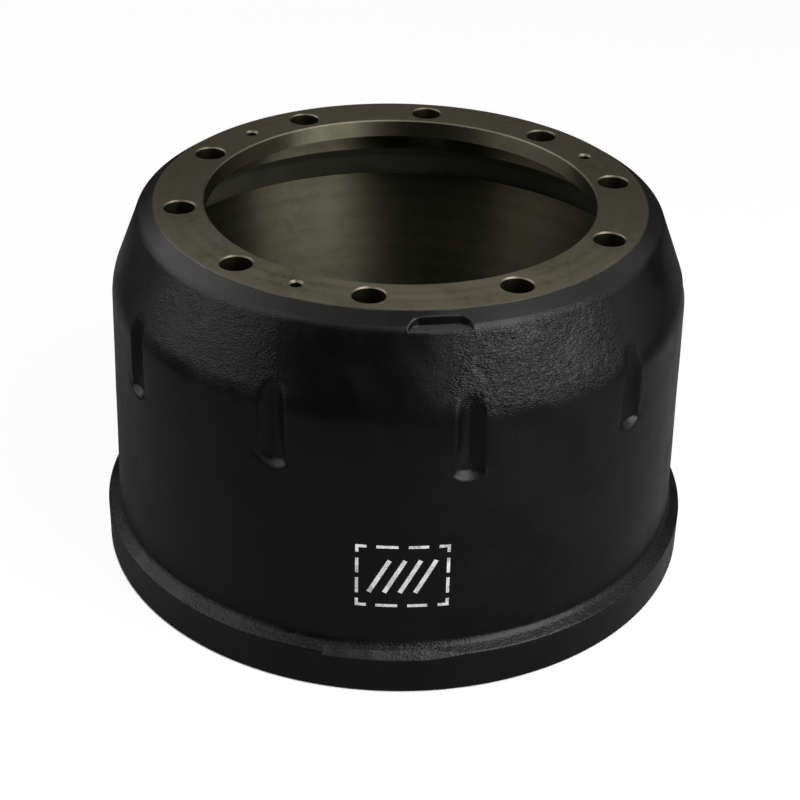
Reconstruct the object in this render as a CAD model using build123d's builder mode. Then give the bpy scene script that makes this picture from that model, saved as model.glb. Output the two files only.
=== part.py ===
from build123d import *
import os
from math import atan2, cos, radians, sin, tan

# Brake drum for a ten-stud commercial-vehicle hub: one grey-iron casting, turned on the
# flange and inside. Millimetres, +Z up. It stands on its open rim. The origin is the
# centre of the rim's lower edge, and the wheel mounting face is on top.
# A "drop" is a depth below the mounting face. Angles are degrees round +Z from +X.

# --- Driving dimensions ---

overall_height = 289.0

# Holes on the stud circle
stud_circle_dia = 335.0
stud_count = 10
stud_hole_dia = 23.5
stud_hole_chamfer = 1.0
first_stud_angle = 11.3
jacking_drill_dia = 8.5  # tapping size of the M10 jacking holes
jacking_countersink_dia = 11.6
jacking_gaps = (0, 3, 6)  # the gaps between studs that hold a jacking hole, first gap 0

# Flange and the hub's fits, set out from the stud circle
flange_thickness = 14.5
hub_bore_land = 6.75  # metal between a stud hole and the hub bore
hub_bore_chamfer = 1.0
hub_seat_edge = 17.5  # stud circle to the wall of the recess that takes the hub's own flange
hub_seat_drop = 40.0

# Friction surface
brake_step = 20.0  # how far it lies outside the hub seat, which lets the hub pass
brake_face_drop = 71.5
brake_relief_depth = 3.0  # cast clearance outside the turned surface's upper edge
brake_lead_in = 3.0  # chamfer at the open end

# Cast outside: metal outside the turned diameters, and the heights of the corners
shoulder_wall = 14.6
bevel_width = 12.6
bevel_drop = 8.2
bevel_radius = 10.0
knee_wall = 16.0
knee_drop = 62.7
knee_radius = 50.0
waist_wall = 17.5
waist_drop = 52.0
foot_wall = 21.3
foot_chamfer = 3.0
rim_wall = 30.8
rim_height = 32.0
rim_shelf_angle = 27.0
rim_edge_chamfer = 1.5

# Flutes down the shoulder, one for each stud
flute_radius = 10.5
flute_axis_standoff = 4.3  # how far the flute's axis lies outside the wall
flute_flare_radius = 6.0
flute_flare_clearance = 0.15
flute_floor_drop = 115.0
flute_floor_angle = 36.0
flute_lead_angle = 20.3  # angle from a stud to the flute that follows it

# Cast pocket in the shoulder
pocket_angle = -81.5
pocket_length = 44.8
pocket_width = 19.0
pocket_back_inset = 4.3  # back wall to the mounting face's outer edge, in plan
pocket_drop = 10.4
pocket_floor_angle = 5.0
pocket_floor_radius = 2.0
pocket_edge_radius = 1.0

# Length of the rim's shelf where the casting's feeder was ground off
fettled_from_angle = -102.0
fettled_arc_angle = 27.0
fettled_depth = 2.8
fettled_slope_angle = 48.0
fettled_overrun = 2.0  # how far the grinding cutter reaches off the metal

# --- Sizes that follow ---

top = overall_height
stud_pitch = 360 / stud_count
stud_circle_radius = stud_circle_dia / 2
hub_bore_radius = stud_circle_radius - stud_hole_dia / 2 - hub_bore_land
hub_seat_radius = stud_circle_radius + hub_seat_edge
brake_radius = hub_seat_radius + brake_step
shoulder_radius = hub_seat_radius + shoulder_wall
mounting_face_radius = shoulder_radius - bevel_width

bevel_corner = (shoulder_radius, top - bevel_drop)
knee_corner = (brake_radius + knee_wall, top - knee_drop)
rim_radius = brake_radius + rim_wall
shelf_rise = (rim_wall - foot_wall) * tan(radians(rim_shelf_angle))
foot_corner = (brake_radius + foot_wall, rim_height + shelf_rise)


def radius_between(upper, lower, height):
    """Radius at a height on the straight line through two corners of the section."""
    share = (upper[1] - height) / (upper[1] - lower[1])
    return upper[0] + share * (lower[0] - upper[0])


shoulder_radius_at_waist = radius_between(bevel_corner, knee_corner, top - waist_drop)
waist_corner = (shoulder_radius_at_waist - waist_wall, top - waist_drop)

# Half section as (radius, height) and the rounding of each corner, clockwise from the hub bore
section = [
    ((hub_bore_radius, top), 0),
    ((mounting_face_radius, top), 0),
    (bevel_corner, bevel_radius),
    (knee_corner, knee_radius),
    (foot_corner, 0),
    ((rim_radius, rim_height), 0),
    ((rim_radius, 0), 0),
    ((brake_radius + brake_lead_in, 0), 0),
    ((brake_radius, brake_lead_in), 0),
    ((brake_radius, top - brake_face_drop), 0),
    ((brake_radius + brake_relief_depth, top - brake_face_drop), 0),
    (waist_corner, 0),
    ((hub_seat_radius, top - hub_seat_drop), 0),
    ((hub_seat_radius, top - flange_thickness), 0),
    ((hub_bore_radius, top - flange_thickness), 0),
]

# --- Flute cutter, drawn at angle 0 ---

# Its section is the flute's circle joined to the open air outside the wall, and rounding
# the two inside corners of that makes the flared mouth. It follows the wall's draft.
flute_wall_radius = radius_between(knee_corner, foot_corner, top - flute_floor_drop)
wall_draft = atan2(foot_corner[0] - knee_corner[0], knee_corner[1] - foot_corner[1])
flute_floor_lip = (flute_wall_radius, 0, top - flute_floor_drop)
flute_section_plane = Plane(
    flute_floor_lip,
    x_dir=(cos(wall_draft), 0, sin(wall_draft)),
    z_dir=(-sin(wall_draft), 0, cos(wall_draft)),
)
flute_floor_plane = Plane(flute_floor_lip, z_dir=Vector(0, 0, 1).rotate(Axis.Y, flute_floor_angle))
flute_reach = 2 * flute_radius
flute_mouth = 2 * (flute_radius + flute_flare_radius)

with BuildPart() as flute_cutter:
    with BuildSketch(flute_section_plane.offset(-flute_reach)) as flute_section:
        Rectangle(2 * flute_reach, 1.5 * flute_mouth)
        with Locations((-flute_wall_radius, 0)):
            Circle(flute_wall_radius + flute_flare_clearance, mode=Mode.SUBTRACT)
        with Locations((flute_axis_standoff, 0)):
            Circle(flute_radius)
        inside_corners = flute_section.vertices().sort_by(lambda corner: abs(corner.Y))[:2]
        fillet(inside_corners, flute_flare_radius)
    extrude(amount=flute_reach + flute_floor_drop)
    split(bisect_by=flute_floor_plane, keep=Keep.TOP)

# --- Pocket cutter, whose floor falls outwards ---

pocket_radius = mounting_face_radius + pocket_back_inset + pocket_width / 2
pocket_outwards = Vector(1, 0, 0).rotate(Axis.Z, pocket_angle)
pocket_along = Vector(0, 1, 0).rotate(Axis.Z, pocket_angle)
pocket_floor_plane = Plane(
    pocket_outwards * pocket_radius + Vector(0, 0, top - pocket_drop),
    x_dir=pocket_along,
    z_dir=Vector(0, 0, 1).rotate(Axis((0, 0, 0), pocket_along), pocket_floor_angle),
)

with BuildPart() as pocket_cutter:
    with BuildSketch(pocket_floor_plane):
        SlotOverall(pocket_length, pocket_width)
    extrude(amount=pocket_drop + pocket_width, dir=(0, 0, 1))
    pocket_floor = pocket_cutter.faces().sort_by(Axis.Z)[0]
    fillet(pocket_floor.edges(), pocket_floor_radius)

# --- Ends of the ground bevel's line, each a little way off the metal ---

bevel_run = fettled_depth / (tan(radians(fettled_slope_angle)) - tan(radians(rim_shelf_angle)))


def on_bevel(run):
    """Point of the bevel's line at a distance inwards from the rim's outer face."""
    start = rim_height - fettled_depth
    return (rim_radius - run, start + run * tan(radians(fettled_slope_angle)))


bevel_toe = on_bevel(-fettled_overrun)
bevel_heel = on_bevel(bevel_run + fettled_overrun / 4)

# --- Drum ---

with BuildPart() as brake_drum:
    with BuildSketch(Plane.XZ) as half_section:
        with BuildLine():
            FilletPolyline(
                *[corner for corner, rounding in section],
                radius=[rounding for corner, rounding in section],
                close=True,
            )
        make_face()
        foot, *rim_corners = half_section.vertices().sort_by(Axis.X)[-3:]
        chamfer(foot, foot_chamfer)
        chamfer(rim_corners, rim_edge_chamfer)
    revolve(axis=Axis.Z)

    # Chamfered edge of the hub bore
    mounting_face = brake_drum.faces().sort_by(Axis.Z)[-1]
    chamfer(mounting_face.edges().sort_by(SortBy.RADIUS)[0], hub_bore_chamfer)

    # Stud holes, chamfered on the mounting face
    with Locations(Plane.XY.offset(top)):
        with PolarLocations(stud_circle_radius, stud_count, start_angle=first_stud_angle):
            Hole(stud_hole_dia / 2)
    mounting_face = brake_drum.faces().sort_by(Axis.Z)[-1]
    chamfer(mounting_face.edges().sort_by(SortBy.RADIUS)[:stud_count], stud_hole_chamfer)

    # Jacking holes between studs
    for gap in jacking_gaps:
        jacking_angle = first_stud_angle + (gap + 0.5) * stud_pitch
        with Locations(Plane.XY.offset(top)):
            with PolarLocations(stud_circle_radius, 1, start_angle=jacking_angle):
                CounterSinkHole(jacking_drill_dia / 2, jacking_countersink_dia / 2,
                                counter_sink_angle=90)

    # Flutes
    with PolarLocations(0, stud_count, start_angle=first_stud_angle + flute_lead_angle):
        add(flute_cutter.part, mode=Mode.SUBTRACT)

    # Pocket in the shoulder, with its mouth rounded
    add(pocket_cutter.part, mode=Mode.SUBTRACT)
    fillet(brake_drum.edges(Select.NEW), pocket_edge_radius)

    # Bevel ground along part of the rim's shelf
    with BuildSketch(Plane.XZ.rotated((0, 0, fettled_from_angle))):
        with BuildLine():
            Polyline(bevel_toe, bevel_heel, (bevel_toe[0], bevel_heel[1]), close=True)
        make_face()
    revolve(axis=Axis.Z, revolution_arc=fettled_arc_angle, mode=Mode.SUBTRACT)

brake_drum.part.label = "brake_drum"

os.makedirs("parts", exist_ok=True)
export_step(brake_drum.part, "parts/brake_drum.step")
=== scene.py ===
"""Dresses a truck brake drum: a painted casting with a turned flange and a turned inside."""

import logging
import math
from dataclasses import dataclass, field
from enum import Enum
from functools import reduce

import bmesh
import bpy
from bmesh.types import BMEdge, BMesh, BMFace, BMVert
from mathutils import Matrix, Vector, noise

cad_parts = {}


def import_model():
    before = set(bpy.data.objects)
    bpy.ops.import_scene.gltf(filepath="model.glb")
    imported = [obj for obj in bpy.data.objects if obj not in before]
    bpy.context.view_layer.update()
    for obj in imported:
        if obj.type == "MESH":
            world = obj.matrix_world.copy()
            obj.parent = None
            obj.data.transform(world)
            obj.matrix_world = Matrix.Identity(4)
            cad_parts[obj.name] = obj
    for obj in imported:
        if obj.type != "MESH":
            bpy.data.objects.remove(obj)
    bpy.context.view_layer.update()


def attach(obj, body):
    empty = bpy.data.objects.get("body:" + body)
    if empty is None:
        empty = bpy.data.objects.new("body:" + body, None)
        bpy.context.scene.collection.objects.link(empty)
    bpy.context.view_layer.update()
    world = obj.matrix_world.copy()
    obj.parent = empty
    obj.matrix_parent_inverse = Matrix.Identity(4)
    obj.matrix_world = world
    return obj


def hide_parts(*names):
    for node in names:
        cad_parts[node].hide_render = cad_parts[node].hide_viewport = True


LOG = logging.getLogger("brake_drum")
MM = 0.001
WELD = 1e-6
BODY = "root"
NODE = "brake_drum"

Colour = tuple[float, float, float]
Feed = bpy.types.NodeSocket | float | tuple[float, ...]


class Zone(Enum):
    """Material slots of the casting, in slot order.

    Attributes:
        PAINTED_SKIN: the painted outside.
        FACED_FLANGE: the turned mounting face.
        TURNED_INSIDE: what is turned inside and under the rim.
        BARE_CAST: the unpainted waist inside.
        WORN_EDGE: chamfers, which are bright.
        DRILLED: walls of the holes, in an iron colour darkened as painted shade inside the holes.
        GROUND: the ground bevel, and the pocket until its mouth is rounded.
    """

    PAINTED_SKIN = 0
    FACED_FLANGE = 1
    TURNED_INSIDE = 2
    BARE_CAST = 3
    WORN_EDGE = 4
    DRILLED = 5
    GROUND = 6


class Rings(Enum):
    """What the tool marks of a turned surface are counted along.

    Attributes:
        ACROSS_FACE: the radius, on a faced surface.
        ALONG_WALL: the height, on a bored one.
    """

    ACROSS_FACE = "Radius"
    ALONG_WALL = "Height"


# --------------------------------------------------------------------------- sizes


@dataclass(frozen=True)
class DrumSizes:
    """Sizes of the casting in millimetres and degrees, as the solid has them.

    A drop is a depth below the mounting face. A name that ends in radius_at is where a
    corner of the section lies, and the same name without _at is the corner's rounding.
    An edge is a rounding too.
    """

    height: float = 289.0
    flange: float = 14.5
    bore_radius: float = 149.0
    bore_chamfer: float = 1.0
    bore_edge: float = 0.6
    face_radius: float = 187.0
    face_edge: float = 0.35
    shoulder_radius: float = 199.6
    bevel_drop: float = 8.2
    bevel_radius: float = 10.0
    knee_radius_at: float = 221.0
    knee_drop: float = 62.7
    knee_radius: float = 50.0
    foot_radius_at: float = 226.3
    foot_height: float = 36.84
    foot_radius: float = 6.0
    rim_radius: float = 235.8
    rim_height: float = 32.0
    rim_edge: float = 1.6
    brake_radius: float = 205.0
    brake_drop: float = 71.5
    brake_relief: float = 3.0
    brake_lead_in: float = 3.0
    waist_radius_at: float = 199.3
    waist_drop: float = 52.0
    waist_radius: float = 10.0
    seat_radius: float = 185.0
    seat_drop: float = 40.0
    seat_corner: float = 1.5
    stud_circle: float = 167.5
    stud_count: int = 10
    stud_hole: float = 11.75
    stud_chamfer: float = 1.0
    first_stud: float = 11.3
    jack_hole: float = 4.25
    jack_mouth: float = 5.8
    jack_gaps: tuple[int, ...] = (0, 3, 6)
    flute_radius: float = 10.5
    flute_standoff: float = 4.3
    flute_half_width: float = 10.8
    flute_slope: float = 0.80
    flute_floor_drop: float = 115.0
    flute_floor_angle: float = 36.0
    flute_lead: float = 20.3
    pocket_angle: float = -81.5
    pocket_length: float = 44.8
    pocket_width: float = 19.0
    pocket_inset: float = 4.3
    pocket_drop: float = 10.4
    pocket_floor_angle: float = 5.0
    pocket_floor_radius: float = 0.8
    pocket_mouth_radius: float = 0.9
    ground_from: float = -102.0
    ground_arc: float = 27.0
    ground_fade: float = 8.0
    ground_depth: float = 2.8
    ground_slope: float = 48.0

    @property
    def pitch(self) -> float:
        """Angle from one stud to the next."""
        return 360 / self.stud_count

    @property
    def wall_draft(self) -> float:
        """Lean of the outer wall from upright, in radians."""
        rise = (self.height - self.knee_drop) - self.foot_height
        return math.atan2(self.foot_radius_at - self.knee_radius_at, rise)

    def wall_radius(self, drop: float) -> float:
        """Radius of the outer wall at a drop below the mounting face, in millimetres."""
        run = drop - self.knee_drop
        return self.knee_radius_at + run * math.tan(self.wall_draft)


# ------------------------------------------------------------------ drawing with bmesh


def polar(radius: float, degrees: float, height: float = 0.0) -> Vector:
    """Point at a radius and angle round +Z, in the units it is given."""
    turn = math.radians(degrees)
    return Vector((radius * math.cos(turn), radius * math.sin(turn), height))


def ramp(value: float, start: float, run: float) -> float:
    """Share, from 0 to 1, of a run that a value has covered since a start."""
    return min(max((value - start) / run, 0.0), 1.0)


def soft_extreme(first: float, second: float, reach: float, sign: int) -> float:
    """Greater or lesser of two values, with the change between them rounded off.

    Args:
        first: one value.
        second: the other value.
        reach: how far apart the values are where the rounding ends.
        sign: 1 for the greater value and -1 for the lesser.

    Returns:
        The rounded extreme.
    """
    overlap = max(reach - abs(first - second), 0.0) / reach
    extreme = max(first, second) if sign > 0 else min(first, second)
    return extreme + sign * overlap * overlap * reach / 4


def round_off(
    mesh: BMesh, parts: list[BMVert] | list[BMEdge], offset: float, spans: int, affect: str
) -> None:
    """Rounds corners or edges.

    Args:
        mesh: the mesh that holds them.
        parts: the corners or edges.
        offset: how far from them the rounding starts, in metres.
        spans: number of spans along the rounding.
        affect: VERTICES for corners and EDGES for edges.
    """
    bmesh.ops.bevel(
        mesh, geom=parts, offset=offset, offset_type="OFFSET", segments=spans, profile=0.5,
        affect=affect, material=-1, clamp_overlap=False,
    )


def revolve(mesh: BMesh, profile: list[BMVert | BMEdge], centre: Vector, steps: int) -> None:
    """Spins a profile once round an upright axis and closes the seam.

    Args:
        mesh: the mesh that holds the profile.
        profile: the profile's vertices and edges.
        centre: a point on the axis, in metres.
        steps: number of spans round the axis.
    """
    bmesh.ops.spin(
        mesh, geom=profile, cent=centre, axis=(0, 0, 1), angle=2 * math.pi, steps=steps,
        use_merge=True, use_duplicate=False,
    )


def turn_mesh(mesh: BMesh, degrees: float) -> None:
    """Turns a whole mesh round +Z and points its faces outwards.

    Args:
        mesh: the mesh to turn.
        degrees: how far it turns.
    """
    turn = Matrix.Rotation(math.radians(degrees), 3, "Z")
    bmesh.ops.rotate(mesh, verts=mesh.verts[:], cent=(0, 0, 0), matrix=turn)
    bmesh.ops.recalc_face_normals(mesh, faces=mesh.faces[:])


def extrude_face(mesh: BMesh, face: BMFace, way: Vector) -> None:
    """Extrudes a face into a closed block.

    Args:
        mesh: the mesh that holds the face.
        face: the face to extrude.
        way: direction and length of the extrusion.
    """
    copied = bmesh.ops.duplicate(mesh, geom=[face])
    far = next(item for item in copied["geom"] if isinstance(item, BMFace))
    bmesh.ops.translate(mesh, verts=far.verts[:], vec=way)
    bmesh.ops.bridge_loops(mesh, edges=face.edges[:] + far.edges[:])
    bmesh.ops.recalc_face_normals(mesh, faces=mesh.faces[:])


def to_object(mesh: BMesh, name: str) -> bpy.types.Object:
    """Moves a bmesh into a new object at the origin and frees it.

    Args:
        mesh: the finished bmesh.
        name: name of the object and its mesh.

    Returns:
        The new object, linked to the scene.
    """
    data = bpy.data.meshes.new(name)
    mesh.to_mesh(data)
    mesh.free()
    piece = bpy.data.objects.new(name, data)
    bpy.context.scene.collection.objects.link(piece)
    return piece


class Outline:
    """A closed outline drawn in a plane, whose corners are rounded one by one."""

    def __init__(self, corners: list[Vector]) -> None:
        """Draws the outline through its corners in order."""
        self.mesh: BMesh = bmesh.new()
        self.mesh.faces.new([self.mesh.verts.new(corner) for corner in corners])

    def round(self, place: Vector, radius: float, spans: int) -> None:
        """Rounds the corner nearest to a place.

        Args:
            place: where the corner is.
            radius: radius of the rounding, in metres.
            spans: number of spans along the rounding.
        """
        corner = min(self.mesh.verts, key=lambda vert: (vert.co - place).length_squared)
        first, second = (edge.other_vert(corner).co - corner.co for edge in corner.link_edges)
        turn = math.pi - first.angle(second)
        round_off(self.mesh, [corner], radius * math.tan(turn / 2), spans, "VERTICES")

    def divide(self, longest: float) -> None:
        """Takes the face away and divides each edge into spans.

        Args:
            longest: greatest length of a span, in metres.
        """
        bmesh.ops.delete(self.mesh, geom=list(self.mesh.faces), context="FACES_ONLY")
        for edge in list(self.mesh.edges):
            cuts = math.ceil(edge.calc_length() / longest) - 1
            if cuts > 0:
                bmesh.ops.subdivide_edges(self.mesh, edges=[edge], cuts=cuts)


# --------------------------------------------------------------------------- casting


@dataclass
class Casting:
    """The drum's one casting, as a fine mesh with the solid's form.

    Attributes:
        sizes: the casting's sizes.
        turns: number of spans round the drum.
        row_length: greatest length of a span along the section, in metres.
        flute_softness: reach of the soft edges of the flutes. It and the flutes' other
            values here are in millimetres.
        flute_top_softness: share of that softness at a flute's blunt top.
        flute_root: rounding of the root of a flute's vee.
        flute_top: drop at which a flute starts.
        flute_top_run: length over which it reaches its depth.
        flute_end_top: drop at which its section starts to turn into that of its end.
        flute_end_run: length over which it does.
        flute_end_depth: depth of the rounder section at the end.
        flute_end_rise: how much higher the floor lies at its corners.
        flute_margin: width of the finely divided wall beside a flute.
        flute_clearance: what stays undivided under the mounting face's bevel.
        fine_floor: how far below and above its lip a floor is divided more finely.
        waviness: depth of the cast skin's waves, in metres.
        waviness_scale: waves in a metre.
        calm: what stays without waves under the bevel and above the shelf, in millimetres.
        stud_sides: number of sides of a stud hole.
        jack_sides: number of sides of a jacking hole.
        bevel_steps: number of spans along the ground bevel.
        crease: least angle of an edge that stays sharp, in degrees.
    """

    sizes: DrumSizes = field(default_factory=DrumSizes)
    turns: int = 360
    row_length: float = 6.0 * MM
    flute_softness: float = 2.6
    flute_top_softness: float = 0.35
    flute_root: float = 2.5
    flute_top: float = 43.0
    flute_top_run: float = 12.0
    flute_end_top: float = 87.0
    flute_end_run: float = 20.0
    flute_end_depth: float = 5.0
    flute_end_rise: float = 4.0
    flute_margin: float = 3.5
    flute_clearance: float = 14.0
    fine_floor: tuple[float, float] = (5.0, 9.0)
    waviness: float = 0.16 * MM
    waviness_scale: float = 26.0
    calm: tuple[float, float] = (4.0, 1.0)
    stud_sides: int = 48
    jack_sides: int = 28
    bevel_steps: int = 40
    crease: float = 33.0

    def build(self) -> bpy.types.Object:
        """Builds the casting with all its cuts.

        Returns:
            The casting's object, with its faces sorted into zones.
        """
        piece = self.turned_body()
        self.cut(piece, self.pocket_cutter())
        self.round_pocket(piece)
        for cutter in (self.hole_cutters(), self.ground_bevel_cutter()):
            self.cut(piece, cutter)
        self.soften(piece)
        return piece

    def section(self) -> list[tuple[float, float, float, int]]:
        """Lists the half section's corners, clockwise from the hub bore.

        Returns:
            Radius, height and rounding in millimetres, and the rounding's spans.
        """
        s = self.sizes
        top = s.height
        return [
            (s.bore_radius, top - s.bore_chamfer, 0, 0),
            (s.bore_radius + s.bore_chamfer, top, 0, 0),
            (s.face_radius, top, s.face_edge, 2),
            (s.shoulder_radius, top - s.bevel_drop, s.bevel_radius, 6),
            (s.knee_radius_at, top - s.knee_drop, s.knee_radius, 7),
            (s.foot_radius_at, s.foot_height, s.foot_radius, 6),
            (s.rim_radius, s.rim_height, s.rim_edge, 4),
            (s.rim_radius, 0, s.rim_edge, 3),
            (s.brake_radius + s.brake_lead_in, 0, 0, 0),
            (s.brake_radius, s.brake_lead_in, 0, 0),
            (s.brake_radius, top - s.brake_drop, 0, 0),
            (s.brake_radius + s.brake_relief, top - s.brake_drop, 0, 0),
            (s.waist_radius_at, top - s.waist_drop, s.waist_radius, 5),
            (s.seat_radius, top - s.seat_drop, 0, 0),
            (s.seat_radius, top - s.flange, s.seat_corner, 3),
            (s.bore_radius, top - s.flange, s.bore_edge, 1),
        ]

    def turned_body(self) -> bpy.types.Object:
        """Revolves the half section, sorts its faces into zones and shapes the cast skin.

        Returns:
            The body's object, without its pocket, holes and ground bevel.
        """
        corners = self.section()
        places = [Vector((radius, 0, height)) * MM for radius, height, _, _ in corners]
        outline = Outline(places)
        for place, (_, _, rounding, spans) in zip(places, corners):
            if rounding:
                outline.round(place, rounding * MM, spans)
        outline.divide(self.row_length)
        mesh = outline.mesh
        revolve(mesh, mesh.verts[:] + mesh.edges[:], Vector((0, 0, 0)), self.turns)
        bmesh.ops.remove_doubles(mesh, verts=mesh.verts[:], dist=WELD)
        bmesh.ops.recalc_face_normals(mesh, faces=mesh.faces[:])
        for face in mesh.faces:
            face.material_index = self.zone_at(face).value
        self.divide_flutes(mesh)
        self.hollow_flutes(mesh)
        self.wave_skin(mesh)
        return to_object(mesh, "brake_drum_casting")

    def zone_at(self, face: BMFace) -> Zone:
        """Sorts a face of the turned body by where it lies.

        Args:
            face: the face.

        Returns:
            Its zone.
        """
        s = self.sizes
        slack = 0.2
        centre = face.calc_center_median() / MM
        radius, drop = math.hypot(centre.x, centre.y), s.height - centre.z
        if drop < s.bore_chamfer and radius < s.bore_radius + s.bore_chamfer:
            return Zone.WORN_EDGE
        if drop < s.bore_chamfer and radius < s.face_radius - slack / 2:
            return Zone.FACED_FLANGE
        in_seat = drop < s.seat_drop and radius < s.seat_radius + slack
        on_brake = drop > s.brake_drop + slack / 2 and radius < s.brake_radius + slack
        under_rim = centre.z < s.brake_lead_in and radius < s.rim_radius - s.rim_edge - slack
        if in_seat or on_brake or under_rim:
            return Zone.TURNED_INSIDE
        relief_radius = s.brake_radius + s.brake_relief + slack
        if s.seat_drop < drop < s.brake_drop + slack / 2 and radius < relief_radius:
            return Zone.BARE_CAST
        return Zone.PAINTED_SKIN

    @staticmethod
    def is_painted(part: BMVert | BMEdge) -> bool:
        """Tells whether only painted faces meet at a vertex or an edge."""
        return all(face.material_index == Zone.PAINTED_SKIN.value for face in part.link_faces)

    def wave_skin(self, mesh: BMesh) -> None:
        """Gives the cast outside the slight waviness of a sand mould.

        Args:
            mesh: the revolved body.
        """
        s = self.sizes
        under_bevel, above_shelf = self.calm
        first, last = s.bevel_drop + under_bevel, s.height - s.rim_height - above_shelf
        for vert in mesh.verts:
            if self.is_painted(vert) and first <= s.height - vert.co.z / MM <= last:
                swell = noise.noise(vert.co * self.waviness_scale)
                vert.co += vert.normal * swell * self.waviness

    def off_flute(self, place: Vector) -> float:
        """Measures round the wall from a place to the nearest flute's middle.

        Args:
            place: the place in metres.

        Returns:
            The distance in metres.
        """
        pitch, first = self.sizes.pitch, self.sizes.first_stud + self.sizes.flute_lead
        here = math.degrees(math.atan2(place.y, place.x))
        turn = (here - first + pitch / 2) % pitch - pitch / 2
        return abs(math.radians(turn)) * math.hypot(place.x, place.y)

    def divide_flutes(self, mesh: BMesh) -> None:
        """Divides the outside finely where the flutes go.

        Args:
            mesh: the revolved body.
        """
        s = self.sizes
        reach = (s.flute_half_width + self.flute_margin) * MM
        lip = (s.height - s.flute_floor_drop) * MM
        low, middle = lip - self.fine_floor[0] * MM, lip + self.fine_floor[1] * MM
        top = (s.height - s.bevel_drop - self.flute_clearance) * MM

        def near(level: bool, lower: float, upper: float) -> list[BMEdge]:
            """Lists the level or upright edges by a flute between two heights.

            Args:
                level: whether the level edges are asked for.
                lower: the lower height in metres.
                upper: the upper height in metres.

            Returns:
                The edges.
            """
            found = []
            for edge in mesh.edges:
                ends = [vert.co for vert in edge.verts]
                centre = (ends[0] + ends[1]) / 2
                if not self.is_painted(edge) or not lower < centre.z < upper:
                    continue
                is_level = abs(ends[0].z - ends[1].z) < 0.01 * MM
                if is_level == level and self.off_flute(centre) < reach:
                    found.append(edge)
            return found

        bmesh.ops.subdivide_edges(mesh, edges=near(True, low, top), cuts=3, use_grid_fill=True)
        for lower, upper, cuts in ((low, middle, 4), (middle, top, 1)):
            upright = near(False, lower, upper)
            bmesh.ops.subdivide_edges(mesh, edges=upright, cuts=cuts, use_grid_fill=True)

    def flute_depth(self, off: float, drop: float) -> float:
        """Depth of a flute below the wall, above its floor.

        Args:
            off: distance from the flute's middle, in millimetres.
            drop: drop below the mounting face, in millimetres.

        Returns:
            The depth in millimetres, below 0 beside the flute.
        """
        s = self.sizes
        round_depth = math.sqrt(max(s.flute_radius ** 2 - off ** 2, 0.0)) - s.flute_standoff
        vee_depth = (s.flute_half_width - math.hypot(off, self.flute_root)) * s.flute_slope
        across = min(off / s.flute_half_width, 1.0)
        end_depth = self.flute_end_depth * math.sqrt(1 - across * across)
        end = ramp(drop, self.flute_end_top, self.flute_end_run)
        return (round_depth + vee_depth) / 2 * (1 - end) + end_depth * end

    def hollow_flutes(self, mesh: BMesh) -> None:
        """Presses the flutes into the outside, with the soft edges of a casting.

        Args:
            mesh: the revolved body, divided where the flutes go.
        """
        s = self.sizes
        fall = math.tan(math.radians(s.flute_floor_angle))
        lowest = s.flute_floor_drop + self.fine_floor[0] + 1
        for vert in mesh.verts:
            radius = math.hypot(vert.co.x, vert.co.y) / MM
            drop = s.height - vert.co.z / MM
            off = self.off_flute(vert.co) / MM
            by_flute = off < s.flute_half_width + 2 * self.flute_margin
            if not self.is_painted(vert) or drop > lowest or not by_flute:
                continue
            opened = ramp(drop, self.flute_top, self.flute_top_run)
            root = s.wall_radius(drop) - self.flute_depth(off, drop) * opened
            across = min(off / s.flute_half_width, 1.0)
            lip_drop = s.flute_floor_drop - self.flute_end_rise * across * across
            floor = s.wall_radius(s.flute_floor_drop) + (drop - lip_drop) / fall
            hollow = soft_extreme(root, floor, self.flute_softness, 1)
            softness = self.flute_top_softness + (1 - self.flute_top_softness) * opened
            pressed = soft_extreme(radius, hollow, self.flute_softness * softness, -1)
            vert.co.x *= pressed / radius
            vert.co.y *= pressed / radius

    def pocket_cutter(self) -> bpy.types.Object:
        """Makes one long rounded cutter with a floor that falls outwards.

        Returns:
            The cutter's object.
        """
        s = self.sizes
        half_length, half_width = s.pocket_length / 2, s.pocket_width / 2
        signs = ((1, -1), (1, 1), (-1, 1), (-1, -1))
        corners = [Vector((x * half_width, y * half_length, 0)) * MM for x, y in signs]
        outline = Outline(corners)
        almost_half_round = half_width * 0.999 * MM
        for corner in corners:
            outline.round(corner, almost_half_round, 10)
        mesh = outline.mesh
        extrude_face(mesh, mesh.faces[:][0], Vector((0, 0, s.pocket_drop + s.pocket_width)) * MM)
        floor = [edge for edge in mesh.edges if all(abs(v.co.z) < WELD for v in edge.verts)]
        round_off(mesh, floor, s.pocket_floor_radius * MM, 4, "EDGES")
        fall = math.tan(math.radians(s.pocket_floor_angle))
        for vert in mesh.verts:
            vert.co.z -= vert.co.x * fall
        middle = s.face_radius + s.pocket_inset + half_width
        place = Vector((middle, 0, s.height - s.pocket_drop)) * MM
        bmesh.ops.translate(mesh, verts=mesh.verts[:], vec=place)
        turn_mesh(mesh, s.pocket_angle)
        return self.cutter_object(mesh, "pocket_cutter", Zone.GROUND)

    def round_pocket(self, piece: bpy.types.Object) -> None:
        """Rounds the pocket's mouth and gives its faces the paint of the skin round it.

        Args:
            piece: the casting's object, with the pocket cut.
        """
        mesh = bmesh.new()
        mesh.from_mesh(piece.data)
        at_mouth = {Zone.GROUND.value, Zone.PAINTED_SKIN.value}

        def mouth() -> list[BMEdge]:
            """Lists the edges between the pocket and the skin."""
            return [e for e in mesh.edges if {f.material_index for f in e.link_faces} == at_mouth]

        corners = list({vert for edge in mouth() for vert in edge.verts})
        shortest_span = 0.5 * MM
        bmesh.ops.remove_doubles(mesh, verts=corners, dist=shortest_span)
        round_off(mesh, mouth(), self.sizes.pocket_mouth_radius * MM, 3, "EDGES")
        for face in mesh.faces:
            if face.material_index == Zone.GROUND.value:
                face.material_index = Zone.PAINTED_SKIN.value
        mesh.to_mesh(piece.data)
        mesh.free()

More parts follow.
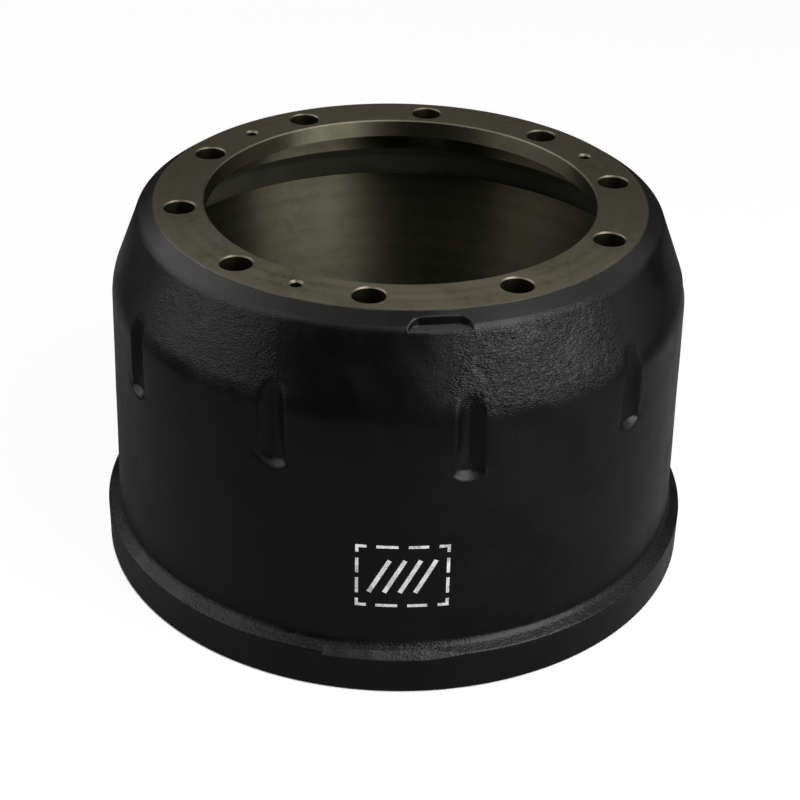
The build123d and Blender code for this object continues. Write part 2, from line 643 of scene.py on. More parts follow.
    def hole_cutters(self) -> bpy.types.Object:
        """Makes the drills for the stud holes and the countersunk jacking holes.

        Returns:
            The drills' object.
        """
        s = self.sizes
        mesh = bmesh.new()
        for step in range(s.stud_count):
            angle = s.first_stud + s.pitch * step
            self.drill(mesh, angle, s.stud_hole, s.stud_chamfer, self.stud_sides)
        for gap in s.jack_gaps:
            angle = s.first_stud + s.pitch * (gap + 0.5)
            self.drill(mesh, angle, s.jack_hole, s.jack_mouth - s.jack_hole, self.jack_sides)
        bmesh.ops.remove_doubles(mesh, verts=mesh.verts[:], dist=WELD)
        bmesh.ops.recalc_face_normals(mesh, faces=mesh.faces[:])
        cutter = self.cutter_object(mesh, "hole_cutters", Zone.DRILLED)
        for face in cutter.data.polygons:
            slanted = 0.1 < abs(face.normal.z) < 0.9
            if slanted:
                face.material_index = Zone.WORN_EDGE.value
        return cutter

    def drill(
        self, mesh: BMesh, angle: float, radius: float, chamfer: float, sides: int
    ) -> None:
        """Adds one drill with a chamfering shoulder on the mounting face.

        Args:
            mesh: the mesh that collects the drills.
            angle: the hole's angle round +Z, in degrees.
            radius: the hole's radius, in millimetres.
            chamfer: how far the chamfer widens the mouth, in millimetres.
            sides: number of sides of the drill.
        """
        s = self.sizes
        over = 4.0
        centre = polar(s.stud_circle, angle)
        profile = (
            (0, s.height - s.flange - over),
            (radius, s.height - s.flange - over),
            (radius, s.height - chamfer),
            (radius + chamfer + over, s.height + over),
            (0, s.height + over),
        )
        way = centre.normalized()
        places = [(centre + way * out + Vector((0, 0, height))) * MM for out, height in profile]
        verts = [mesh.verts.new(place) for place in places]
        edges = [mesh.edges.new(pair) for pair in zip(verts, verts[1:])]
        revolve(mesh, verts + edges, centre * MM, sides)

    def ground_bevel_cutter(self) -> bpy.types.Object:
        """Makes a ring segment that grinds a bevel on part of the rim's shelf.

        Returns:
            The cutter's object. It draws away from the rim at its far end.
        """
        s = self.sizes
        slope = math.tan(math.radians(s.ground_slope))
        shelf = (s.foot_height - s.rim_height) / (s.rim_radius - s.foot_radius_at)
        over = 2.0
        toe, heel = -over, s.ground_depth / (slope - shelf) + over / 4
        start = s.rim_height - s.ground_depth
        low = Vector((s.rim_radius - toe, 0, start + toe * slope)) * MM
        high = Vector((s.rim_radius - heel, 0, start + heel * slope)) * MM
        mesh = bmesh.new()
        verts = [mesh.verts.new(place) for place in (low, high, Vector((low.x, 0, high.z)))]
        face = mesh.faces.new(verts)
        bmesh.ops.spin(
            mesh, geom=[face], cent=(0, 0, 0), axis=(0, 0, 1),
            angle=math.radians(s.ground_arc), steps=self.bevel_steps, use_duplicate=False,
        )
        bmesh.ops.holes_fill(mesh, edges=[edge for edge in mesh.edges if edge.is_boundary])
        for vert in mesh.verts:
            here = math.degrees(math.atan2(vert.co.y, vert.co.x))
            fade = max(here - (s.ground_arc - s.ground_fade), 0) / s.ground_fade
            outwards = Vector((vert.co.x, vert.co.y, 0)).normalized()
            vert.co += outwards * (s.ground_depth * fade * MM)
        turn_mesh(mesh, s.ground_from)
        return self.cutter_object(mesh, "ground_bevel_cutter", Zone.GROUND)

    @staticmethod
    def cutter_object(mesh: BMesh, name: str, zone: Zone) -> bpy.types.Object:
        """Makes a cutter's object, whose faces pass their zone on to the cut.

        Args:
            mesh: the cutter's mesh.
            name: the cutter's name.
            zone: the zone of what it cuts.

        Returns:
            The cutter's object.
        """
        for face in mesh.faces:
            face.material_index = zone.value
        return to_object(mesh, name)

    @staticmethod
    def cut(piece: bpy.types.Object, cutter: bpy.types.Object) -> None:
        """Subtracts a cutter from a piece and removes the cutter.

        Args:
            piece: the object that is cut.
            cutter: the object that cuts it.
        """
        tool = cutter.name
        change = piece.modifiers.new(tool, "BOOLEAN")
        change.operation = "DIFFERENCE"
        change.solver = "EXACT"
        change.object = cutter
        graph = bpy.context.evaluated_depsgraph_get()
        result = bpy.data.meshes.new_from_object(piece.evaluated_get(graph))
        piece.modifiers.clear()
        old = piece.data
        piece.data = result
        bpy.data.meshes.remove(old)
        bpy.data.objects.remove(cutter)
        LOG.info("after %s: %d faces", tool, len(result.polygons))

    def soften(self, piece: bpy.types.Object) -> None:
        """Smooths the faces and keeps the creases of the machined edges.

        Args:
            piece: the casting's object, with all its cuts.
        """
        mesh = bmesh.new()
        mesh.from_mesh(piece.data)
        bmesh.ops.remove_doubles(mesh, verts=mesh.verts[:], dist=2 * WELD)
        bmesh.ops.dissolve_degenerate(mesh, edges=mesh.edges[:], dist=2 * WELD)
        limit = math.radians(self.crease)
        for face in mesh.faces:
            face.smooth = True
        for edge in mesh.edges:
            edge.smooth = edge.is_manifold and edge.calc_face_angle(0.0) < limit
        bad = sum(not edge.is_manifold for edge in mesh.edges)
        LOG.info("casting: %d faces, %d open edges", len(mesh.faces), bad)
        mesh.to_mesh(piece.data)
        mesh.free()
        weigh = piece.modifiers.new("face_weighted_normals", "WEIGHTED_NORMAL")
        weigh.keep_sharp = True
        weigh.weight = 60


# ------------------------------------------------------------------------------ mark


@dataclass
class StencilMark:
    """A generic white mark, sprayed through a stencil onto the wall.

    It is a frame of dashes round plain slanted bars, each a thin film of paint.

    Attributes:
        sizes: the casting's sizes.
        centre_angle: the middle's angle round +Z, in degrees.
        centre_height: the middle's height. Lengths are in millimetres.
        width: the frame's width.
        height: the frame's height.
        stroke: width of the frame's strokes.
        film: how far the paint lies outside the wall.
        sunk: how far its back lies inside the wall.
        corner: length of a corner's level dash.
        corner_upright: how far from the corner the middle of its other dash is, and the
            other dash's length.
        span: length of the spans that bend round the wall.
        level_dashes: middle and length of the level dashes, as shares of the width.
        upright_dashes: middle and length of the others, as shares of the height.
        bars: number of bars.
        bar_pitch: distance between bars, as a share of the width.
        bar_length: their length, as a share of the height.
        bar_slant: their angle from level, in degrees.
        bar_weight: their thickness, in strokes.
    """

    sizes: DrumSizes = field(default_factory=DrumSizes)
    centre_angle: float = -87.95
    centre_height: float = 96.0
    width: float = 65.0
    height: float = 50.0
    stroke: float = 2.3
    film: float = 0.12
    sunk: float = 0.25
    corner: float = 8.0
    corner_upright: tuple[float, float] = (3.0, 4.4)
    span: float = 2.0
    level_dashes: tuple[tuple[float, float], ...] = ((-0.17, 0.24), (0.17, 0.22))
    upright_dashes: tuple[tuple[float, float], ...] = ((-0.17, 0.26), (0.17, 0.25))
    bars: int = 4
    bar_pitch: float = 0.17
    bar_length: float = 0.62
    bar_slant: float = 62.0
    bar_weight: float = 1.4

    def build(self) -> bpy.types.Object:
        """Lays out the dashes and bars and wraps them onto the wall.

        Returns:
            The mark's object.
        """
        mesh = bmesh.new()
        half_width, half_height = self.width / 2, self.height / 2
        corner_across = half_width - (self.corner - self.stroke) / 2
        inset, upright = self.corner_upright
        for side in (-1, 1):
            edge = side * half_height
            for middle, length in self.level_dashes:
                self.dash(mesh, middle * self.width, edge, length * self.width, 0)
            for middle, length in self.upright_dashes:
                self.dash(mesh, side * half_width, middle * self.height, length * self.height, 90)
            for end in (-1, 1):
                self.dash(mesh, end * corner_across, edge, self.corner, 0)
                self.dash(mesh, end * half_width, edge - side * inset, upright, 90)
        for step in range(self.bars):
            across = (step - (self.bars - 1) / 2) * self.width * self.bar_pitch
            self.dash(
                mesh, across, 0, self.height * self.bar_length, self.bar_slant, self.bar_weight
            )
        for face in mesh.faces:
            if face.normal.z < 0:
                face.normal_flip()
        bmesh.ops.solidify(mesh, geom=mesh.faces[:], thickness=self.film + self.sunk)
        bmesh.ops.recalc_face_normals(mesh, faces=mesh.faces[:])
        self.wrap(mesh)
        return to_object(mesh, "stencil_mark")

    def dash(
        self,
        mesh: BMesh,
        across: float,
        up: float,
        length: float,
        slant: float,
        weight: float = 1.0,
    ) -> None:
        """Adds one flat bar.

        Args:
            mesh: the mesh that collects the mark.
            across: the bar's centre to the right of the mark's, in millimetres.
            up: the bar's centre above the mark's, in millimetres.
            length: length in millimetres.
            slant: angle from level, in degrees.
            weight: thickness in strokes.
        """
        place = Matrix.Translation(Vector((across, up, self.film)))
        turn = Matrix.Rotation(math.radians(slant), 4, "Z")
        size = Matrix.Diagonal((length, weight * self.stroke, 1.0, 1.0))
        spans = max(1, round(length / self.span))
        bmesh.ops.create_grid(
            mesh, x_segments=spans, y_segments=1, size=0.5, matrix=place @ turn @ size
        )

    def wrap(self, mesh: BMesh) -> None:
        """Bends the flat layout (across, up, out) round the drafted wall.

        Args:
            mesh: the flat layout, in millimetres.
        """
        s = self.sizes
        for vert in mesh.verts:
            across, up, out = vert.co
            height = self.centre_height + up
            radius = s.wall_radius(s.height - height) + out
            angle = self.centre_angle + math.degrees(across / radius)
            vert.co = polar(radius, angle, height) * MM


# --------------------------------------------------------------------- wiring of shaders


class Wiring:
    """Adds nodes to one tree and joins them."""

    def __init__(self, tree: bpy.types.NodeTree) -> None:
        """Takes the tree that is to be wired."""
        self.tree = tree

    def add(
        self, kind: str, feeds: dict[str | int, Feed] | None = None, **options: object
    ) -> bpy.types.Node:
        """Adds one node.

        Args:
            kind: the node's type.
            feeds: values or sockets for its inputs, by name or place.
            options: the node's own settings.

        Returns:
            The new node.
        """
        node = self.tree.nodes.new(kind)
        for name, value in options.items():
            setattr(node, name, value)
        for key, feed in (feeds or {}).items():
            self.feed(node.inputs[key], feed)
        return node

    def feed(self, socket: bpy.types.NodeSocket, feed: Feed) -> None:
        """Joins a socket to an input, or sets the input's own value.

        Args:
            socket: the input.
            feed: the socket or the value. A colour of three parts gets an alpha of 1.
        """
        if isinstance(feed, bpy.types.NodeSocket):
            self.tree.links.new(feed, socket)
        elif len_of(socket) == 4 and len_of(feed) == 3:
            socket.default_value = (*feed, 1.0)
        else:
            socket.default_value = feed

    def math(self, operation: str, first: Feed, second: Feed = 0.0) -> bpy.types.NodeSocket:
        """Works out one sum of two values."""
        return self.add("ShaderNodeMath", {0: first, 1: second}, operation=operation).outputs[0]

    def product(self, *values: Feed) -> bpy.types.NodeSocket:
        """Multiplies values."""
        return reduce(lambda first, second: self.math("MULTIPLY", first, second), values)

    def vector(self, operation: str, first: Feed, second: Feed = (0.0, 0.0, 0.0)) -> bpy.types.Node:
        """Adds one sum of two vectors."""
        return self.add("ShaderNodeVectorMath", {0: first, 1: second}, operation=operation)

    def remap(
        self, value: Feed, low: Feed, high: Feed, to: tuple[Feed, Feed] = (0.0, 1.0)
    ) -> bpy.types.NodeSocket:
        """Turns a range of values into another, with a soft start and end.

        Args:
            value: the value.
            low: where the range starts.
            high: where it ends, which may be the lesser value.
            to: what it is turned into at its start and its end.

        Returns:
            The new value's socket.
        """
        feeds = {
            "Value": value, "From Min": low, "From Max": high, "To Min": to[0], "To Max": to[1],
        }
        return self.add("ShaderNodeMapRange", feeds, interpolation_type="SMOOTHSTEP").outputs[0]

    def noise(
        self, place: Feed, scale: Feed, detail: float, roughness: float, twist: float = 0.0
    ) -> bpy.types.NodeSocket:
        """Makes cloudy noise with values round a half.

        Args:
            place: where it is read.
            scale: clouds in a metre.
            detail: number of finer layers.
            roughness: strength of each finer layer.
            twist: how much the clouds are warped.

        Returns:
            The value's socket.
        """
        feeds = {
            "Vector": place, "Scale": scale, "Detail": detail, "Roughness": roughness,
            "Distortion": twist,
        }
        return self.add("ShaderNodeTexNoise", feeds).outputs[0]

    def streaks(self, along: Feed, scale: float, detail: float) -> bpy.types.NodeSocket:
        """Makes noise along one length, with values round a half."""
        feeds = {"W": along, "Scale": scale, "Detail": detail}
        return self.add("ShaderNodeTexNoise", feeds, noise_dimensions="1D").outputs[0]

    def bump(
        self, shader: bpy.types.Node, height: Feed, depth: float, strength: float = 1.0
    ) -> None:
        """Bumps a shader's surface, by a depth in metres where the height is 1."""
        feeds = {"Strength": strength, "Distance": depth, "Height": height}
        self.feed(shader.inputs["Normal"], self.add("ShaderNodeBump", feeds).outputs[0])

    def blend(self, share: Feed, first: Feed, second: Feed) -> bpy.types.NodeSocket:
        """Blends two values."""
        feeds = {0: share, 2: first, 3: second}
        return self.add("ShaderNodeMix", feeds, data_type="FLOAT").outputs[0]

    def tint(self, share: Feed, first: Feed, second: Feed) -> bpy.types.NodeSocket:
        """Blends two colours."""
        feeds = {0: share, 6: first, 7: second}
        return self.add("ShaderNodeMix", feeds, data_type="RGBA").outputs[2]

    def group(self, tree: bpy.types.NodeTree, **feeds: Feed) -> bpy.types.NodeOutputs:
        """Places a shared group and fills its inputs."""
        inputs = {name.capitalize(): feed for name, feed in feeds.items()}
        return self.add("ShaderNodeGroup", inputs, node_tree=tree).outputs


def len_of(item: object) -> int:
    """Length of a value, or of a socket's value, with 1 for a plain number."""
    value = getattr(item, "default_value", item)
    return len(value) if hasattr(value, "__len__") else 1


class GroupWiring(Wiring):
    """Wires a new shader group, from its inputs to its outputs."""

    def __init__(self, name: str, *inputs: str) -> None:
        """Starts the group.

        Args:
            name: the group's name.
            inputs: names of its inputs. Place is a vector and the others are numbers.
        """
        super().__init__(bpy.data.node_groups.new(name, "ShaderNodeTree"))
        for socket in inputs:
            kind = "NodeSocketVector" if socket == "Place" else "NodeSocketFloat"
            self.tree.interface.new_socket(name=socket, in_out="INPUT", socket_type=kind)
        self.inputs = self.add("NodeGroupInput").outputs[:len(inputs)]

    def finish(self, **outputs: bpy.types.NodeSocket) -> bpy.types.NodeTree:
        """Gives the group its outputs.

        Args:
            outputs: what feeds each output, by the output's name.

        Returns:
            The group.
        """
        feeds = {name.capitalize(): feed for name, feed in outputs.items()}
        for name in feeds:
            self.tree.interface.new_socket(
                name=name, in_out="OUTPUT", socket_type="NodeSocketFloat"
            )
        self.add("NodeGroupOutput", feeds)
        return self.tree


class Effects:
    """The shader groups that the finishes share, each built once."""

    def __init__(self) -> None:
        """Builds the groups."""
        self.cylinder = self.build_cylinder()
        self.sand_skin = self.build_sand_skin()
        self.tool_rings = self.build_tool_rings()
        self.ragged_line = self.build_ragged_line()
        self.blotches = self.build_blotches()

    @staticmethod
    def build_cylinder() -> bpy.types.NodeTree:
        """Reads a place as radius and height in millimetres.

        Returns:
            The group.
        """
        wiring = GroupWiring("cylinder", "Place")
        x, y, z = wiring.add("ShaderNodeSeparateXYZ", {0: wiring.inputs[0]}).outputs
        squares = wiring.math("ADD", wiring.product(x, x), wiring.product(y, y))
        radius = wiring.math("DIVIDE", wiring.math("SQRT", squares), MM)
        return wiring.finish(radius=radius, height=wiring.math("DIVIDE", z, MM))

    @staticmethod
    def build_sand_skin() -> bpy.types.NodeTree:
        """Wrinkles and grain of a sand-cast skin, level-lying and about 2 mm by 6 mm.

        Returns:
            The group. Height is in units of the bump's distance.
        """
        wiring = GroupWiring("sand_skin", "Place", "Wrinkle", "Grain")
        place, wrinkle, grain = wiring.inputs
        level = wiring.vector("MULTIPLY", place, (1.0, 1.0, 2.2)).outputs[0]
        folds = wiring.noise(level, 470.0, 1.0, 0.45, 0.4)
        ridge = wiring.remap(folds, 0.34, 0.62)
        swell = wiring.noise(level, 150.0, 1.0, 0.5, 0.4)
        folded = wiring.math("ADD", wiring.product(ridge, 0.24), wiring.product(swell, 0.5))
        folded = wiring.product(folded, wrinkle)
        sand = wiring.product(wiring.noise(place, 620.0, 3.0, 0.6), grain)
        hollows = wiring.product(wiring.math("SUBTRACT", 1.0, ridge), wrinkle)
        return wiring.finish(height=wiring.math("ADD", folded, sand), hollows=hollows)

    @staticmethod
    def build_tool_rings() -> bpy.types.NodeTree:
        """Rings that a turning tool leaves, counted along a length in millimetres.

        Returns:
            The group. Rings are fine, and bands are where the tool's cut changed.
        """
        wiring = GroupWiring("tool_rings", "Along", "Pitch")
        turns = wiring.math("DIVIDE", *wiring.inputs)
        rings = wiring.streaks(turns, 1.0, 3.0)
        return wiring.finish(
            rings=rings, bands=wiring.remap(wiring.streaks(turns, 0.06, 1.0), 0.4, 0.6)
        )

    @staticmethod
    def build_ragged_line() -> bpy.types.NodeTree:
        """Mask that goes from 0 to 1 where a value passes a ragged line.

        Returns:
            The group. Value, line and depth are in millimetres.
        """
        wiring = GroupWiring("ragged_line", "Place", "Value", "Line", "Depth")
        place, value, line, depth = wiring.inputs
        wander = wiring.math("SUBTRACT", wiring.noise(place, 130.0, 4.0, 0.65), 0.5)
        shift = wiring.product(wander, wiring.product(depth, 4.0))
        passed = wiring.math("SUBTRACT", wiring.math("ADD", value, shift), line)
        return wiring.finish(mask=wiring.remap(passed, -0.12, 0.12))

    @staticmethod
    def build_blotches() -> bpy.types.NodeTree:
        """Soft uneven patches, from 0 to 1.

        Returns:
            The group.
        """
        wiring = GroupWiring("blotches", "Place", "Size")
        place, size = wiring.inputs
        scale = wiring.math("DIVIDE", 1.0, wiring.product(size, MM))
        cloud = wiring.noise(place, scale, 3.0, 0.6, 0.4)
        return wiring.finish(mask=wiring.remap(cloud, 0.32, 0.68))


def start_material(
    name: str,
) -> tuple[bpy.types.Material, Wiring, bpy.types.Node, bpy.types.NodeSocket]:
    """Starts a material with an empty Principled shader.

    Args:
        name: the material's name.

    Returns:
        The material, its wiring, its shader and the place read in object coordinates.
    """
    material = bpy.data.materials.new(name)
    material.use_nodes = True
    wiring = Wiring(material.node_tree)
    shader = material.node_tree.nodes["Principled BSDF"]
    place = wiring.add("ShaderNodeTexCoord").outputs["Object"]
    return material, wiring, shader, place


def across_grooves(wiring: Wiring, place: bpy.types.NodeSocket) -> bpy.types.NodeSocket:
    """Direction on a turned surface that crosses its grooves.

    Args:
        wiring: the material's wiring.
        place: the place in object coordinates.

    Returns:
        The direction's socket.
    """
    round_axis = wiring.vector("CROSS_PRODUCT", (0.0, 0.0, 1.0), place).outputs[0]
    normal = wiring.add("ShaderNodeNewGeometry").outputs["Normal"]
    across = wiring.vector("CROSS_PRODUCT", round_axis, normal).outputs[0]
    return wiring.vector("NORMALIZE", across).outputs[0]


def start_surface(name: str) -> tuple[bpy.types.Material, Wiring, bpy.types.NodeSocket]:
    """Starts a material without its Principled shader.

    Args:
        name: the material's name.

    Returns:
        The material, its wiring and the input for its surface.
    """
    material = bpy.data.materials.new(name)
    material.use_nodes = True
    nodes = material.node_tree.nodes
    nodes.remove(nodes["Principled BSDF"])
    return material, Wiring(material.node_tree), nodes["Material Output"].inputs["Surface"]


# --------------------------------------------------------------------------- finishes


@dataclass(frozen=True)
class BlackPaint:
    """Thin satin black paint over the sand-cast outside.

    Attributes:
        name: the material's name.
        colour: the paint's colour.
        thin_colour: its colour where it is thin.
        bare_metal: the metal that shows along the flange's edge.
        up_face_colour: a paler colour that faces pointing up get.
        rough_patches: where the sand left wrinkles: angle round +Z, half width and strength.
        patch_fade: how far outside its half width a patch starts and how far inside it is
            full, in degrees.
        calm_wrinkles: strength of the wrinkles between the patches.
        under_bevel: heights between which they fade in under the bevel. Heights are in
            millimetres.
        over_knee: heights between which they fade in over the knee.
        wall_wrinkles: strength of the wrinkles on the wall.
        over_rim: heights between which they fade in on the rim's outer face.
        over_shelf: the same over the shelf, counted from the rim's height.
        shelf_wrinkles: strength of the wrinkles on the shelf.
        facing_up: how far up a face points, from 0 to 1, where the paler colour starts and where it
            is full.
        bare_edge: how far below the mounting face the metal shows, and how ragged that is,
            in millimetres.
        grain: depth of the grain, as a share of the wrinkles' depth.
        reflection: specular level.
        roughness: the paint's least roughness.
        roughness_spread: how much rougher it gets.
        wrinkle_depth: depth of the wrinkles, in metres.
    """

    name: str = "black_paint"
    colour: Colour = (0.0012, 0.0012, 0.0013)
    thin_colour: Colour = (0.0020, 0.0019, 0.0019)
    bare_metal: Colour = (0.07, 0.065, 0.05)
    up_face_colour: Colour = (0.03, 0.03, 0.03)
    rough_patches: tuple[tuple[float, float, float], ...] = (
        (-61, 15, 1.7), (-127, 16, 0.6), (-5, 12, 0.7), (48, 22, 0.9), (118, 26, 0.8),
    )
    patch_fade: tuple[float, float] = (6, -4)
    calm_wrinkles: float = 0.15
    under_bevel: tuple[float, float] = (283.0, 277.0)
    over_knee: tuple[float, float] = (218.0, 236.0)
    wall_wrinkles: float = 0.12
    over_rim: tuple[float, float] = (27.0, 30.0)
    over_shelf: tuple[float, float] = (9.0, 5.0)
    shelf_wrinkles: float = 0.6
    facing_up: tuple[float, float] = (0.91, 0.98)
    bare_edge: float = 0.3
    grain: float = 0.10
    reflection: float = 0.20
    roughness: float = 0.30
    roughness_spread: float = 0.08
    wrinkle_depth: float = 1.0 * MM

    def material(self, effects: Effects, sizes: DrumSizes) -> bpy.types.Material:
        """Builds the material.

        Args:
            effects: the shared shader groups.
            sizes: the casting's sizes, which say where the skin is wrinkled.

        Returns:
            The material.
        """
        material, wiring, shader, place = start_material(self.name)
        shader.inputs["Specular IOR Level"].default_value = self.reflection
        height = wiring.group(effects.cylinder, place=place)["Height"]
        blotch = wiring.group(effects.blotches, place=place, size=46.0)[0]
        wrinkle = wiring.product(
            wiring.remap(height, *self.under_bevel),
            wiring.remap(height, *self.over_knee, (self.wall_wrinkles, 1.0)),
            self.patch_strength(wiring, place),
        )
        shelf_top, shelf = (sizes.rim_height + by for by in self.over_shelf)
        on_shelf = wiring.product(
            wiring.remap(height, shelf_top, shelf, (0.0, self.shelf_wrinkles)),
            wiring.remap(height, *self.over_rim),
        )
        wrinkle = wiring.math("MAXIMUM", wrinkle, on_shelf)
        wrinkle = wiring.product(wrinkle, wiring.remap(blotch, 0.0, 0.6, (0.35, 1.0)))
        skin = wiring.group(effects.sand_skin, place=place, wrinkle=wrinkle, grain=self.grain)
        bare = wiring.group(
            effects.ragged_line,
            place=place, value=height, line=sizes.height - self.bare_edge, depth=self.bare_edge,
        )[0]
        paint = wiring.tint(blotch, self.colour, self.thin_colour)
        normal = wiring.add("ShaderNodeNewGeometry").outputs["Normal"]
        faces_up = wiring.add("ShaderNodeSeparateXYZ", {0: normal}).outputs["Z"]
        # Faces that point up are tinted towards a paler colour.
        paint = wiring.tint(wiring.remap(faces_up, *self.facing_up), paint, self.up_face_colour)
        satin = (self.roughness, self.roughness + self.roughness_spread)
        wiring.feed(shader.inputs["Base Color"], wiring.tint(bare, paint, self.bare_metal))
        wiring.feed(shader.inputs["Metallic"], bare)
        wiring.feed(shader.inputs["Roughness"], wiring.remap(blotch, 0.0, 1.0, satin))
        wiring.bump(shader, skin["Height"], self.wrinkle_depth)
        return material

    def patch_strength(self, wiring: Wiring, place: Feed) -> bpy.types.NodeSocket:
        """Strength of the wrinkles by the patches round the casting.

        Args:
            wiring: the material's wiring.
            place: the place in object coordinates.

        Returns:
            The strength's socket.
        """
        level = wiring.vector("MULTIPLY", place, (1.0, 1.0, 0.0)).outputs[0]
        way = wiring.vector("NORMALIZE", level).outputs[0]
        strength: Feed = self.calm_wrinkles
        for angle, half_width, full_strength in self.rough_patches:
            near = wiring.vector("DOT_PRODUCT", way, tuple(polar(1.0, angle))).outputs["Value"]
            start, full = (math.cos(math.radians(half_width + by)) for by in self.patch_fade)
            patch = wiring.remap(near, start, full, (0.0, full_strength))
            strength = wiring.math("MAXIMUM", strength, patch)
        return strength


@dataclass(frozen=True)
class TurnedIron:
    """Turned grey iron, with the tool's rings and a thin film of preserving oil.

    Attributes:
        name: the material's name.
        rings_along: what the rings are counted along.
        colour: the iron's colour.
        stained: its colour where it is stained.
        pitch: distance from ring to ring, in millimetres.
        roughness: the iron's least roughness.
        spread: how much rougher its stains are.
        anisotropy: how much the grooves stretch the reflections.
        ring_depth: depth of the rings, in metres.
        band_share: how much of the stain comes from the tool's bands.
        paint: colour of the outside's paint.
        paint_line: radius where that paint starts, beyond the casting where there is none.
        paint_reach: how ragged that line is, in millimetres.
    """

    name: str
    rings_along: Rings
    colour: Colour
    stained: Colour
    pitch: float
    roughness: float
    spread: float
    anisotropy: float
    ring_depth: float
    band_share: float = 0.3
    paint: Colour = (0.0020, 0.0020, 0.0021)
    paint_line: float = 400.0
    paint_reach: float = 0.7

    def material(self, effects: Effects, sizes: DrumSizes) -> bpy.types.Material:
        """Builds the material.

        Args:
            effects: the shared shader groups.
            sizes: the casting's sizes; not used.

        Returns:
            The material.
        """
        material, wiring, shader, place = start_material(self.name)
        shader.inputs["Anisotropic"].default_value = self.anisotropy
        wiring.feed(shader.inputs["Tangent"], across_grooves(wiring, place))
        where = wiring.group(effects.cylinder, place=place)
        along = where[self.rings_along.value]
        rings = wiring.group(effects.tool_rings, along=along, pitch=self.pitch)
        blotch = wiring.group(effects.blotches, place=place, size=38.0)[0]
        specks = wiring.group(effects.blotches, place=place, size=5.0)[0]
        stain = wiring.product(blotch, wiring.remap(specks, 0.2, 0.9, (0.55, 1.0)))
        stain = wiring.math(
            "ADD",
            wiring.product(stain, 1 - self.band_share),
            wiring.product(rings["Bands"], self.band_share),
        )
        metal = wiring.tint(stain, self.colour, self.stained)
        painted = wiring.group(
            effects.ragged_line,
            place=place, value=where["Radius"], line=self.paint_line, depth=self.paint_reach,
        )[0]
        rough = wiring.remap(stain, 0.0, 1.0, (self.roughness, self.roughness + self.spread))
        wiring.feed(shader.inputs["Base Color"], wiring.tint(painted, metal, self.paint))
        wiring.feed(shader.inputs["Metallic"], wiring.math("SUBTRACT", 1.0, painted))
        wiring.feed(shader.inputs["Roughness"], rough)
        wiring.bump(shader, rings["Rings"], self.ring_depth)
        return material


@dataclass(frozen=True)
class BareCasting:
    """Unpainted cast iron inside the drum, dark and rough from the mould.

    Attributes:
        colour: the iron's colour.
        rusty: its colour where it has started to rust.
        reflection: specular level.
        roughness: its roughness on the ridges of the skin and in the hollows.
        grain_depth: depth of the skin, in metres.
    """

    colour: Colour = (0.028, 0.028, 0.018)
    rusty: Colour = (0.040, 0.038, 0.025)
    reflection: float = 0.4
    roughness: tuple[float, float] = (0.62, 0.85)
    grain_depth: float = 0.4 * MM

    def material(self, effects: Effects, sizes: DrumSizes) -> bpy.types.Material:
        """Builds the material.

        Args:
            effects: the shared shader groups.
            sizes: the casting's sizes; not used.

        Returns:
            The material.
        """
        material, wiring, shader, place = start_material("bare_casting")
        shader.inputs["Specular IOR Level"].default_value = self.reflection
        skin = wiring.group(effects.sand_skin, place=place, wrinkle=0.6, grain=0.3)
        blotch = wiring.group(effects.blotches, place=place, size=22.0)[0]
        rough = wiring.remap(skin["Hollows"], 0.0, 0.6, self.roughness)
        wiring.feed(shader.inputs["Base Color"], wiring.tint(blotch, self.colour, self.rusty))
        wiring.feed(shader.inputs["Roughness"], rough)
        wiring.bump(shader, skin["Height"], self.grain_depth)
        return material


@dataclass(frozen=True)
class StencilPaint:
    """White stencil paint that hasn't covered everywhere.

    Attributes:
        colour: the paint's colour.
        thin_colour: its colour where it is thin.
        reflection: specular level.
        roughness: its roughness where it is full and where it is thin.
        depth: depth of its specks, in metres.
    """

    colour: Colour = (0.52, 0.52, 0.52)
    thin_colour: Colour = (0.20, 0.20, 0.20)
    reflection: float = 0.3
    roughness: tuple[float, float] = (0.6, 0.45)
    depth: float = 0.05 * MM

    def material(self, effects: Effects, sizes: DrumSizes) -> bpy.types.Material:
        """Builds the material.

        Args:
            effects: the shared shader groups.
            sizes: the casting's sizes; not used.

        Returns:
            The material.
        """
        material, wiring, shader, place = start_material("stencil_paint")
        shader.inputs["Specular IOR Level"].default_value = self.reflection
        patches = wiring.group(effects.blotches, place=place, size=9.0)[0]
        specks = wiring.group(effects.blotches, place=place, size=1.6)[0]
        thin = wiring.product(patches, wiring.remap(specks, 0.2, 0.8, (0.4, 1.0)))
        wiring.feed(shader.inputs["Base Color"], wiring.tint(thin, self.colour, self.thin_colour))
        wiring.feed(shader.inputs["Roughness"], wiring.remap(thin, 0.0, 1.0, self.roughness))
        wiring.bump(shader, specks, self.depth, 0.6)
        return material


# ----------------------------------------------------------------------------- studio


@dataclass(frozen=True)
class Panel:
    """A flat thing that stands round the drum and faces its middle.

    Attributes:
        name: its name.
        azimuth: degrees to the right of the drum's front.
        elevation: degrees above the floor.
        distance: metres from the drum's middle.
        width: metres across.
        height: metres tall, or deep where it lies on the floor.
    """

    name: str
    azimuth: float
    elevation: float
    distance: float
    width: float
    height: float

    @property
    def way(self) -> Vector:
        """Direction from the drum's middle."""
        rise = math.radians(self.elevation)
        return polar(math.cos(rise), self.azimuth - 90, math.sin(rise))


